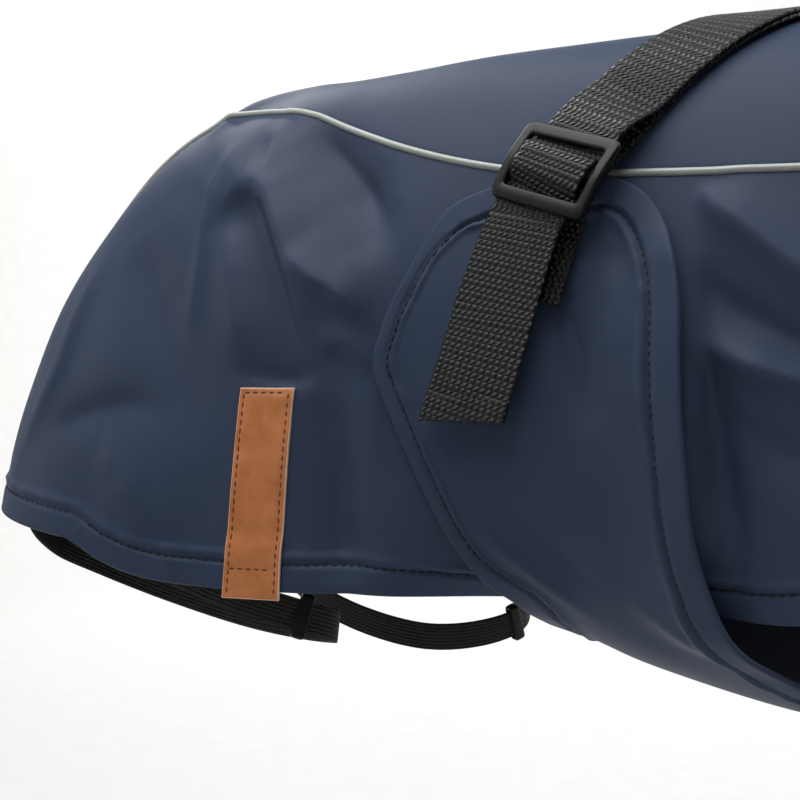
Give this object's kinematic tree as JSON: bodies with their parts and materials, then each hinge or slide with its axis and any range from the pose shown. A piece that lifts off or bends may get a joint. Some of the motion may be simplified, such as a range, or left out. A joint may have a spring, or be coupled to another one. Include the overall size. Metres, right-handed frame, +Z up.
{
  "type": "dog raincoat",
  "caption": "Navy coated dog raincoat with piped seams, a belly apron, a back belt with slide and elastic leg loops, in its worn form.",
  "frame": {"origin": "inner face of the back panel at the middle of the back ridge, where the wearer's back carries the coat", "axes": "+X towards the head, +Z up, -Y the dog's right side, which carries the slide and the label"},
  "size_m": [0.5037, 0.208, 0.2722],
  "materials": {
    "coated_cloth": "navy polyurethane-coated polyester, smooth and matt with a soft sheen",
    "reflective_piping": "grey retroreflective piping, satin",
    "label_leather": "tan leather, smooth, cut edges pale",
    "belt_webbing": "black polypropylene webbing, coarse cross-ribbed weave",
    "black_plastic": "moulded acetal, satin",
    "leg_elastic": "black ribbed woven elastic"
  },
  "bodies": {
    "root": {"back_panel": "coated_cloth", "side_panel_right": "coated_cloth", "side_panel_left": "coated_cloth", "belly_apron": "coated_cloth", "piping_right": "reflective_piping", "piping_left": "reflective_piping", "leather_label": "label_leather", "belt_webbing": "belt_webbing", "ring_tab": "belt_webbing", "belt_slide": "black_plastic", "belt_ring": "black_plastic", "loop_slide_right": "black_plastic", "loop_slide_left": "black_plastic", "leg_loop_right": "leg_elastic", "leg_loop_left": "leg_elastic"}
  },
  "joints": []
}
